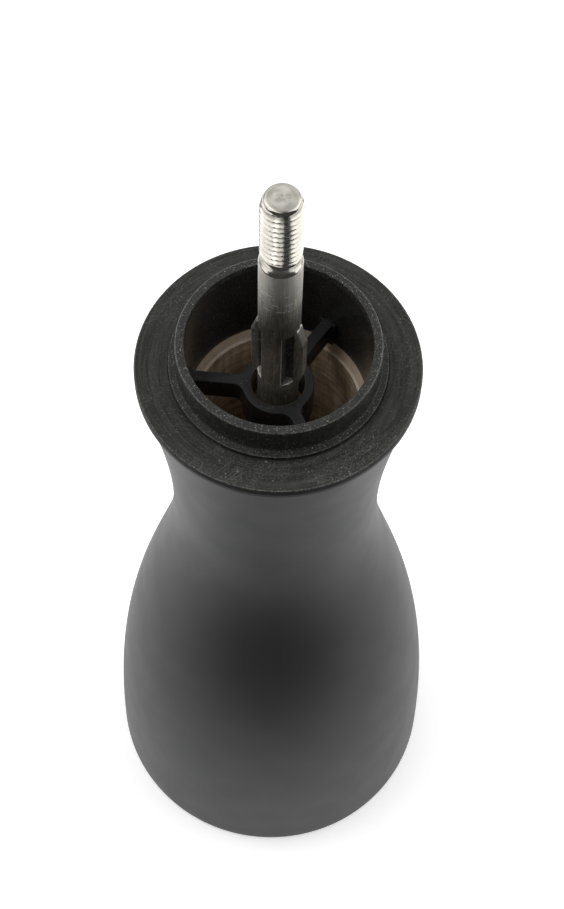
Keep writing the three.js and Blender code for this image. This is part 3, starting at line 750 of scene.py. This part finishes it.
def make_body():
    """Hourglass body; its zones are lacquer, black top face and bare wood."""
    neck_r, neck_z = 16.55, 98.0
    flare_r, flare_z = 20.3, 132.6
    rim_r, rim_low, rim_round = 20.75, 132.95, 0.26
    lacquer_top = rim_low + 0.55
    seat_r, seat_z = FLANGE_R + 0.1, TOP_Z - 0.15
    socket_r, chamber_r = 14.7, 12.4
    pocket_r, pocket_top = 16.2, 30.2
    recess_r, recess_z = 21.2, 5.0
    foot = 1.0
    runs = [
        (0, arc(BASE_R - foot, foot, foot, -90, 0)),
        (0, bezier((BASE_R, foot), (29.2, 63.6), (neck_r, 69.9), (neck_r, neck_z), 90)),
        (0, bezier((neck_r, neck_z), (neck_r, 108.0), (17.8, 119.53), (flare_r, flare_z), 40)),
        (0, [(rim_r - 0.42, rim_low - 0.2), (rim_r, rim_low)]),
        (1, [(rim_r, lacquer_top)]),
        (1, arc(rim_r - rim_round, TOP_Z - rim_round, rim_round, 0, 90)),
        (1, [(17.5, TOP_Z), (seat_r + 0.04, TOP_Z), (seat_r, TOP_Z - 0.04), (seat_r, seat_z)]),
        (1, [(socket_r + 0.15, seat_z), (socket_r, seat_z - 0.15)]),
        (2, [(socket_r, 129), (socket_r, SOCKET_FLOOR)]),
        (2, [(chamber_r + CHAMFER + 0.08, SOCKET_FLOOR), (chamber_r + CHAMFER, SOCKET_FLOOR - 0.08)]),
        (2, [(chamber_r + 0.1, LEDGE_LOW), (chamber_r, LEDGE_LOW - 0.15)]),
        (2, [(chamber_r, z) for z in np.linspace(118, 34, 22)]),
        (2, [(chamber_r, pocket_top), (pocket_r, pocket_top), (pocket_r, 18), (pocket_r, recess_z)]),
        (2, [(recess_r, recess_z), (recess_r, 2.5), (recess_r, 0.2), (recess_r + 0.2, 0)]),
    ]
    outline = []
    zones = []
    for zone, points in runs:
        for point in points:
            if not outline or math.dist(point, outline[-1]) > 1e-6:
                outline.append(point)
                zones.append(zone)
    piece = turned("turned_body", outline, [LACQUER, TOP_BLACK, WOOD], 256, zones=zones, sharp=22)
    pilot_low, pilot_high = 4.0, 16.0
    pilots = [
        prism(f"pilot_{i}", [circle(SCREW_HOLE, 32, x, y)], pilot_low, pilot_high, [WOOD], 0.05)
        for i, (x, y) in enumerate(screw_places())
    ]
    return place(combine(piece, pilots, "DIFFERENCE", 22), "root", "body", "lacquer")


# -------- collar and spider


def make_collar():
    """Textured spigot with a foot flange; its inside is smooth."""
    outer, bore = 14.7, 13.4
    sleeve_r, low, top = 14.5, COLLAR_LOW, COLLAR_TOP
    flange_low, flange_top = TOP_Z - 0.05, TOP_Z + 0.8
    flange_edge, fillet, outer_edge, bore_edge = 0.12, 0.45, 0.4, 0.22
    slot_half = 0.95
    runs = [
        (0, [(sleeve_r, low + 0.15), (sleeve_r, 129), (sleeve_r, flange_low)]),
        (0, [(FLANGE_R - 0.08, flange_low)]),
        (0, arc(FLANGE_R - flange_edge, flange_top - flange_edge, flange_edge, 0, 90, 3)),
        (0, arc(outer + fillet, flange_top + fillet, fillet, 270, 180, 6)),
        (0, [(outer, z) for z in (136.5, 138.0)]),
        (0, arc(outer - outer_edge, top - outer_edge, outer_edge, 0, 90, 6)),
        (0, arc(bore + bore_edge, top - bore_edge, bore_edge, 90, 180, 5)),
        (1, [(bore, z) for z in (139.0, 136.0, 132.0, 128.0, low + 0.15)]),
        (1, [(bore + 0.15, low), (sleeve_r - 0.15, low)]),
    ]
    outline = [point for _, points in runs for point in points]
    zones = [zone for zone, points in runs for _ in points]
    slots = []
    for i, azimuth in enumerate(SPIDER_ARMS):
        loop = bar(bore - 0.9, sleeve_r + 1, slot_half, azimuth)
        slots.append(prism(f"slot_{i}", [loop], low - 1, SPIDER_TOP + 0.02, [SLEEVE_GLOSS], 0.02))
    piece = turned("collar_spigot", outline, [COLLAR_GRAIN, SLEEVE_GLOSS], 256, zones=zones)
    return place(combine(piece, slots, "DIFFERENCE"), "root", "collar", "black_plastic")


def make_spider():
    """Three arms with T-shaped ends round a tubular hub."""
    low, top, foot = SPIDER_LOW, SPIDER_TOP, COLLAR_LOW
    arm_low = top - 4.0
    hub, hole = 5.3, 3.95
    arm_half, fillet, reach = 0.88, 1.8, 13.2
    rail_half, tongue_half, tongue_reach = 1.1, 0.65, 14.1
    plan = spoked_plan(SPIDER_ARMS, hub, arm_half, fillet, reach, tee=(1.4, 0.5))
    piece = prism("spider_arms", [plan, circle(hole)], arm_low, top, [SPIDER_SATIN], 0.1)
    apart = 0.004  # keeps the tube's walls off the hub's walls in the plan
    tube = rounded([(hole, low), (hub, low), (hub, arm_low + 1), (hole, arm_low + 1)], 0.15)
    others = [turned("hub_tube", [(r - apart, z) for r, z in tube], [SPIDER_SATIN], 96)]
    for i, azimuth in enumerate(SPIDER_ARMS):
        rail = bar(reach - 0.25, reach - 0.03, rail_half, azimuth)
        tongue = bar(reach - 0.2, tongue_reach, tongue_half, azimuth)
        others.append(prism(f"rail_{i}", [rail], foot, arm_low + 0.5, [SPIDER_SATIN], 0.03))
        others.append(prism(f"tongue_{i}", [tongue], foot + 0.05, top - 0.05, [SPIDER_SATIN], 0.1))
    return place(combine(piece, others, "UNION"), "root", "bearing_spider", "spider_plastic")


# -------- shaft


def shaft_profile(z):
    """Radius of the round shaft at a height, before its thread is cut."""
    knots = [
        (SHAFT_LOW, 2.0), (SHAFT_LOW + 0.4, STUB_R), (6.15, STUB_R), (STUB_TOP, 2.9), (6.4, SHAFT_R),
        (30.5, SHAFT_R), (30.6, 2.9), (30.62, 2.5), (31.88, 2.5), (31.9, 2.9), (32.0, SHAFT_R),
        (SHOULDER_Z, SHAFT_R), (160.45, 2.98), (160.8, 2.68), (160.9, 2.66), (THREAD_LOW, 2.66),
        (162.5, 2.82), (162.9, THREAD_R), (171.4, THREAD_R), (172.1, 2.86), (172.8, 2.75),
        (173.3, 2.6), (173.6, 2.47), (173.76, 2.36), (173.84, 2.26), (173.88, 2.16), (SHAFT_TOP, 2.0),
    ]
    heights, radii = zip(*knots)
    return np.interp(z, heights, radii)


def wing_reach(z):
    """How far the wings stand from the axis at a height."""
    knots = [
        (WING_LOW, 2.8), (132.0, 3.2), (132.9, 3.6), (133.8, 3.86), (134.8, WING_R),
        (WING_SLOPE, WING_R), (WING_SLOPE + 0.2, 3.97), (145.9, 3.05), (WING_HIGH, 2.8),
    ]
    heights, reach = zip(*knots)
    return np.interp(z, heights, reach)


def round_section(z, parts):
    """A quarter of the plain shaft's section, from the wing's middle to its side."""
    r = shaft_profile(z)
    foot = math.atan2(WING_HALF, PUNCH_EDGE)
    edge = math.acos(PUNCH_EDGE / SHAFT_R)
    ear = math.asin((WING_HALF + EAR) / SHAFT_R)
    stops = [0, 0.12, 0.24, ear, ear + 0.06, foot, edge - 0.04, edge + 0.04, math.pi / 2]
    return along_stops([(r * math.cos(a), r * math.sin(a)) for a in stops], parts, r)


def along_stops(stops, parts, keep_radius=None):
    """Points on the path through the stops, a set number in each stretch."""
    points = []
    for (x0, y0), (x1, y1), count in zip(stops, stops[1:], parts):
        t = np.arange(count)[:, None] / count
        points.append((1 - t) * np.array([x0, y0]) + t * np.array([x1, y1]))
    points.append(np.array([stops[-1]]))
    path = np.concatenate(points)
    if keep_radius:
        path *= keep_radius / np.linalg.norm(path, axis=1)[:, None]
    return path


def wing_section(z, parts):
    """A quarter of the section through a wing and the recess beside it."""
    reach, thick = wing_reach(z), WING_HALF + EAR
    ear_x = SHAFT_R * math.cos(math.asin(thick / SHAFT_R)) + 0.02
    side = math.sqrt(SHAFT_R**2 - PUNCH_EDGE**2)
    corner = min(0.3, max(reach - ear_x, 0.02))
    stops = [
        (reach, 0), (reach, thick - corner), (reach - corner, thick), (ear_x, thick),
        (ear_x - 0.3, WING_HALF), (PUNCH_EDGE + 0.08, WING_HALF), (PUNCH_EDGE, WING_HALF + 0.1),
        (PUNCH_EDGE, side - 0.05),
    ]
    path = along_stops(stops, parts[:-1])
    start = math.acos((PUNCH_EDGE - 0.07) / SHAFT_R)
    angles = np.linspace(start, math.pi / 2, parts[-1] + 1)
    outer = np.stack([SHAFT_R * np.cos(angles), SHAFT_R * np.sin(angles)], -1)
    return np.concatenate([path[:-1], outer])


def shaft_ring(z, thread=0.0, pitch=1.0):
    """One ring of the shaft, turned so that its wings lie where the CAD model has them."""
    parts = [5, 3, 4, 4, 5, 3, 7, 12]
    quarter = round_section(z, parts)
    if WING_LOW < z < WING_HIGH:
        cut = wing_section(z, parts)
        reach_side = math.sqrt(SHAFT_R**2 - PUNCH_EDGE**2) - WING_HALF
        from_wing = np.clip((cut[:, 1] - WING_HALF) / reach_side, 0, 1)
        roof = WING_HIGH - 0.6 - 1.5 * from_wing
        floor = WING_LOW + 1.9 + 0.8 * from_wing
        opened = np.clip((z - floor) / 0.2, 0, 1) * np.clip((roof - z) / 0.15, 0, 1)
        ear = np.clip((cut[:, 0] - SHAFT_R + 0.12) / 0.1, 0, 1)
        amount = np.maximum(opened, ear * np.clip((wing_reach(z) - SHAFT_R) / 0.1, 0, 1))[:, None]
        quarter = quarter * (1 - amount) + cut * amount
    x = np.concatenate([quarter[:, 0], -quarter[-2::-1, 0], -quarter[1:, 0], quarter[-2:0:-1, 0]])
    y = np.concatenate([quarter[:, 1], quarter[-2::-1, 1], -quarter[1:, 1], -quarter[-2:0:-1, 1]])
    angle, r = np.arctan2(y, x), np.hypot(x, y)
    if STUB_TOP < z < FLATS_TOP:
        r = np.minimum(r, FLATS_HALF / np.maximum(np.abs(np.sin(angle)), 1e-6))
    if thread:
        phase = (z / pitch - angle / (2 * np.pi)) % 1
        groove = np.clip(np.abs(2 * phase - 1) * 1.25 - 0.1, 0, 1)
        r = r - thread * groove
    angle = angle + math.radians(WINGS_AT)
    return np.stack([r * np.cos(angle), r * np.sin(angle), np.full_like(r, z)], -1)


def make_shaft():
    """Drive shaft: threads at both ends, flats, a ring groove and two pinched wings."""
    stub_depth, stub_pitch = 0.4, 0.8
    rings = []

    def add(heights, depth=0.0, end=1e6, pitch=1.0):
        """Rings at some heights; a thread fades in at their start and out at its end."""
        start = heights[0]
        for z in heights:
            near_end = float(np.clip(min(z - start + 0.1, end - z) / 0.7, 0, 1))
            rings.append(shaft_ring(z, depth * near_end, pitch))

    add(np.arange(SHAFT_LOW, 5.9, 0.06), stub_depth, 6.2, stub_pitch)
    add([6.0, 6.15, STUB_TOP, 6.4, 11.9, FLATS_TOP, 12.05, 20])
    add([30.5, 30.6, 30.62, 31.88, 31.9, 32.0])
    add(np.linspace(40, 128, 23))
    add(np.arange(WING_LOW - 0.1, WING_HIGH + 0.2, 0.06))
    add([148, 150, 152, 154, 156, 158, 159.5])
    add([SHOULDER_Z, 160.45, 160.6, 160.75, 160.8, 160.9, 161.5, 162])
    add(np.arange(THREAD_LOW, THREAD_HIGH, 0.045), THREAD_DEPTH, THREAD_HIGH + 0.3)
    add([173.5, 173.58, 173.66, 173.72, 173.78, 173.82, 173.86, 173.88, SHAFT_TOP])
    piece = skin("drive_shaft", rings, [SHAFT_STEEL], closed=False, sharp=26)
    return place(piece, "drive", "shaft", "shaft_steel")


# -------- mechanism


def saw(angle, twist, teeth):
    """A wave round the axis that climbs from 0 to 1 along each tooth."""
    return ((angle - twist) * teeth / (2 * np.pi)) % 1


def make_rotor():
    """Male grinder: fine teeth below, twisted feed blades above."""
    low, high, bottom_r = node_size("rotor")
    mid, mid_r, top_r = low + 3.0, 9.8, 6.0
    teeth, blades = 36, 8
    angles = np.linspace(0, 2 * np.pi, 576, endpoint=False)

    def radius(a, z):
        if z <= mid:
            twist = math.radians(12) * (z - low) / (mid - low)
            return bottom_r + (mid_r - bottom_r) * (z - low) / (mid - low) - 0.5 * saw(a, twist, teeth)
        t = (z - mid) / (high - mid)
        crest = mid_r - 0.6 + (top_r - mid_r + 0.6) * t
        return crest - 1.6 * np.clip(saw(a, math.radians(70) * t, blades) * 1.15, 0, 1) ** 0.8

    heights = [low, *np.linspace(low + 0.05, mid, 12), mid + 0.01, *np.linspace(mid + 0.3, high, 28)]
    outer = field(radius, heights, angles)
    bore = field(lambda a, z: np.full_like(a, 3.3), [high, 12.0, low], angles)
    piece = skin("burr_rotor", [*outer, *bore], [BURR_STEEL], sharp=30)
    return place(piece, "drive", "rotor", "burr_steel")


def make_stator():
    """Female grinder: fine teeth at its mouth, ribs in its funnel."""
    low, high, outer_r = node_size("stator")
    mouth, slope, low_r, top_r = 4.0, 0.4, 11.92, 12.0
    teeth, ribs = 36, 12
    mid = low + mouth
    mid_r = low_r - slope * (mid - low)
    angles = np.linspace(0, 2 * np.pi, 576, endpoint=False)

    def radius(a, z):
        if z <= mid:
            twist = math.radians(10) * (z - low) / mouth
            return low_r - slope * (z - low) + 0.5 * saw(-a, twist, teeth)
        t = (z - mid) / (high - mid)
        rib = saw(-a, math.radians(25) * t, ribs)
        return mid_r + (top_r - mid_r) * t + 1.2 * min(t * 4, 1) * rib**1.2

    heights = [*np.linspace(low, mid, 12), mid + 0.01, *np.linspace(mid + 0.3, high, 20)]
    inner = field(radius, heights, angles)
    bevel = 0.15

    def wall_radius(a, z):
        return np.full_like(a, outer_r - (bevel if z in (low, high) else 0))

    wall = field(wall_radius, [high, high - bevel, 12.0, low + bevel, low], angles)
    piece = skin("burr_stator", [*inner, *wall], [BURR_STEEL], sharp=30)
    return place(piece, "root", "stator", "burr_steel")


def make_cage():
    """Cup round the stator with the lower bearing's hub on three arms."""
    low, high, outer = node_size("mechanism_cage")
    inner, throat, shoulder = 14.3, 12.6, 17.5
    hub, bush_hole, arm_half, bridge_low = 6.0, 4.6, 1.3, 26.1
    cup = rounded(
        [(inner, low), (outer, low), (outer, high), (throat, high), (throat, shoulder), (inner, shoulder)],
        0.25,
    )
    piece = turned("cage_cup", cup, [CAGE_PLASTIC], 192)
    plan = spoked_plan(SPIDER_ARMS, hub, arm_half, 1.5, throat + 1.0)
    bridge = prism("cage_bridge", [plan, circle(bush_hole)], bridge_low, high - 0.03, [CAGE_PLASTIC], 0.2)
    return place(combine(piece, [bridge], "UNION"), "root", "mechanism_cage", "cage_plastic")


def make_round_pieces():
    """Bush, washers and spring seat, each from its rounded section."""
    rows = [
        ("lower_bush", "bearing_bush", "root", "bush_brass", BRASS,
         [(3.12, 26.1), (4.3, 26.1), (4.3, 29.85), (5.8, 29.85), (5.8, 30.55), (3.12, 30.55)]),
        ("spring_washer", "upper_spring_washer", "root", "plated_steel", PLATED,
         [(3.3, 25.2), (6.0, 25.2), (6.0, 25.9), (3.3, 25.9)]),
        ("thrust_seat", "spring_seat", "lift", "seat_polymer", ACETAL,
         [(3.3, 16.5), (6.0, 16.5), (6.0, 17.2), (3.85, 17.2), (3.85, 18.2), (3.3, 18.2)]),
        ("burr_washer", "rotor_washer", "drive", "plated_steel", PLATED,
         [(2.7, 5.3), (6.0, 5.3), (6.0, 6.0), (2.7, 6.0)]),
    ]
    for name, node, body, slot, look, section in rows:
        place(turned(name, rounded(section, 0.12), [look], 128), body, node, slot)


def make_clip():
    """Flat retaining ring, open towards +X."""
    low, high, _ = node_size("shaft_clip")
    outer, inner, opening = 4.9, 2.8, 50
    plan = arc(0, 0, outer, opening, 360 - opening, 60) + arc(0, 0, inner, 360 - opening, opening, 40)
    piece = prism("retaining_ring", [plan], low, high, [PLATED], 0.08)
    return place(piece, "drive", "shaft_clip", "plated_steel")


def make_nut():
    """Hexagon nut with its lower corners turned off."""
    low, high, _ = node_size("rotor_nut")
    corner_r, hole = 4.6, 2.7
    hexagon = prism("burr_nut", [circle(corner_r, 6), circle(hole, 64)], low, high, [PLATED], 0.1)
    cone = [(0, low - 1), (3.9, low - 0.02), (4.9, low + 0.55), (4.9, high + 0.2), (0, high + 0.2)]
    crown = turned("crown", cone, [PLATED], 96, closed=False)
    return place(combine(hexagon, [crown], "INTERSECT"), "drive", "rotor_nut", "plated_steel")


def make_spring():
    """Compression spring with closed ends."""
    seat_top = node_size("spring_seat")[1] - 1.0
    under_washer = node_size("upper_spring_washer")[0]
    wire, coil_r, turns = 0.5, 4.7, 5.25
    t = np.linspace(0, 1, 420)
    closed_turn = 0.75 / turns
    rise = np.interp(t, [0, closed_turn, 1 - closed_turn, 1], [0, 0.09, 0.91, 1])
    z = seat_top + wire + 0.02 + rise * (under_washer - seat_top - 2 * wire - 0.04)
    angle = 2 * np.pi * turns * t
    path = np.stack([coil_r * np.cos(angle), coil_r * np.sin(angle), z], -1)
    along = np.gradient(path, axis=0)
    along /= np.linalg.norm(along, axis=1)[:, None]
    outward = np.stack([np.cos(angle), np.sin(angle), np.zeros_like(angle)], -1)
    other = np.cross(along, outward)
    turn = np.linspace(0, 2 * np.pi, 14, endpoint=False)
    rings = [
        p + wire * (np.outer(np.cos(turn), o) + np.outer(np.sin(turn), q))
        for p, o, q in zip(path, outward, other)
    ]
    piece = skin("burr_spring", rings, [SPRING_WIRE], closed=False)
    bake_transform(piece)
    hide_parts("spring")


def make_plate():
    """Flat ring that holds the mechanism in the base, and its three screws."""
    low, high, outer = node_size("base_plate")
    inner = 14.0
    loops = [circle(outer, 192), circle(inner, 160)]
    loops += [circle(SCREW_HOLE, 32, x, y) for x, y in screw_places()]
    place(prism("retaining_plate", loops, low, high, [PLATED], 0.15), "root", "base_plate", "plated_steel")
    for i, (x, y) in enumerate(screw_places()):
        screw = make_screw(i, low - 0.2)
        screw.data.transform(Matrix.Rotation(math.radians(40 * i), 4, "Z"))
        screw.data.transform(Matrix.Translation((x * MM, y * MM, 0)))
        place(screw, "root", f"plate_screw_{i + 1}", "plated_steel")


def make_screw(i, head_top):
    """A wood screw on the axis, point up, with a cross recess in its round head."""
    head_low, flat_r, round_r = head_top - 1.3, 1.5, 0.8
    outline = [(0, head_low), (flat_r, head_low), *arc(flat_r, head_low + round_r, round_r, -90, 0),
               (flat_r + round_r, head_top), (1.15, head_top)]
    core, crest, pitch, turns = 0.9, 1.2, 0.75, 12
    for k in range(turns):
        z = head_top + 1 + k * pitch
        outline += [(core, z), (crest, z + 0.3), (crest, z + 0.36), (core, z + 0.68)]
    outline += [(0.8, head_top + 10.4), (0, head_top + 12)]
    screw = turned(f"wood_screw_{i + 1}", outline, [PLATED], 48, closed=False)
    a, b = 0.28, 1.3
    cross = [(-b, -a), (-a, -a), (-a, -b), (a, -b), (a, -a), (b, -a),
             (b, a), (a, a), (a, b), (-a, b), (-a, a), (-b, a)]
    recess = prism(f"recess_{i}", [cross], head_low - 1, head_low + 0.7, [PLATED], 0.05)
    return combine(screw, [recess], "DIFFERENCE")


# -------- floor, light and camera


def make_floor():
    """A plain white sheet under the mill; it ends in front of it, where the room is dim."""
    half, front = 3.0, -FLOOR_FRONT * MM
    mesh = bpy.data.meshes.new("floor")
    corners = [(-half, front, 0), (half, front, 0), (half, half, 0), (-half, half, 0)]
    mesh.from_pydata(corners, [], [(0, 1, 2, 3)])
    look = Look("floor", (0.88, 0.88, 0.88), 0.7)
    look.put("Specular IOR Level", 0.1)
    look.put("Emission Color", (1, 1, 1, 1))
    look.put("Emission Strength", 0.4)
    add_object("floor", mesh, [look.material])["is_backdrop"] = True


def add_light(name, place_at, aim, size, power):
    data = bpy.data.lights.new(name, "AREA")
    data.shape = "RECTANGLE"
    data.size, data.size_y = size
    data.energy = power
    light = link(name, data)
    light.location = place_at
    light.rotation_mode = "QUATERNION"
    light.rotation_quaternion = (Vector(aim) - Vector(place_at)).to_track_quat("-Z", "Y")


def make_light():
    """Soft boxes on both sides, behind, above and in front, and a smaller key light."""
    for row in LIGHTS:
        add_light(*row)


def make_room():
    """A dim room, darkest above the front, and as pale as the sheet low towards the back."""
    world = bpy.data.worlds.new("studio")
    bpy.context.scene.world = world
    world.use_nodes = True
    room = Nodes(world.node_tree)
    background = room.tree.nodes["Background"]
    room.feed(background.inputs["Color"], (1, 1, 1, 1))
    direction = room.node("ShaderNodeTexCoord").outputs["Generated"]

    def along(heading):
        """How nearly a direction points along a heading."""
        return room.vector("DOT_PRODUCT", direction, Vector(heading).normalized())

    dim = room.ramp(along((0, -0.9, 0.44)), -0.3, 0.3, ROOM_STRENGTH, DARK_STRENGTH)
    back = room.ramp(along((0, 1, 0)), 0.0, 0.2, dim, PALE_STRENGTH)
    room.feed(background.inputs["Strength"], room.ramp(along((0, 0, -1)), 0.05, 0.2, dim, back))


def make_camera():
    """The photograph's view: from the front, 62 degrees above the horizon."""
    data = bpy.data.cameras.new("camera")
    data.sensor_width = CAMERA_SENSOR
    data.lens = CAMERA_LENS
    camera = link("camera", data)
    place_at, aim = Vector(CAMERA_AT) * MM, Vector(CAMERA_AIM) * MM
    camera.location = place_at
    turn = (aim - place_at).to_track_quat("-Z", "Y").to_matrix()
    camera.rotation_euler = (turn @ Matrix.Rotation(math.radians(CAMERA_ROLL), 3, "Z")).to_euler()
    data.clip_start, data.clip_end = 0.01, 10
    bpy.context.scene.camera = camera


make_camera()
make_body()
make_collar()
make_spider()
make_shaft()
make_rotor()
make_stator()
make_cage()
make_round_pieces()
make_clip()
make_nut()
make_spring()
make_plate()
make_floor()
make_light()
make_room()

bpy.context.scene.view_settings.view_transform = "Standard"

sizes = {"cad": CAD_BOX, "visual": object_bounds()}
{name: [list(corner) for corner in box] for name, box in sizes.items()}
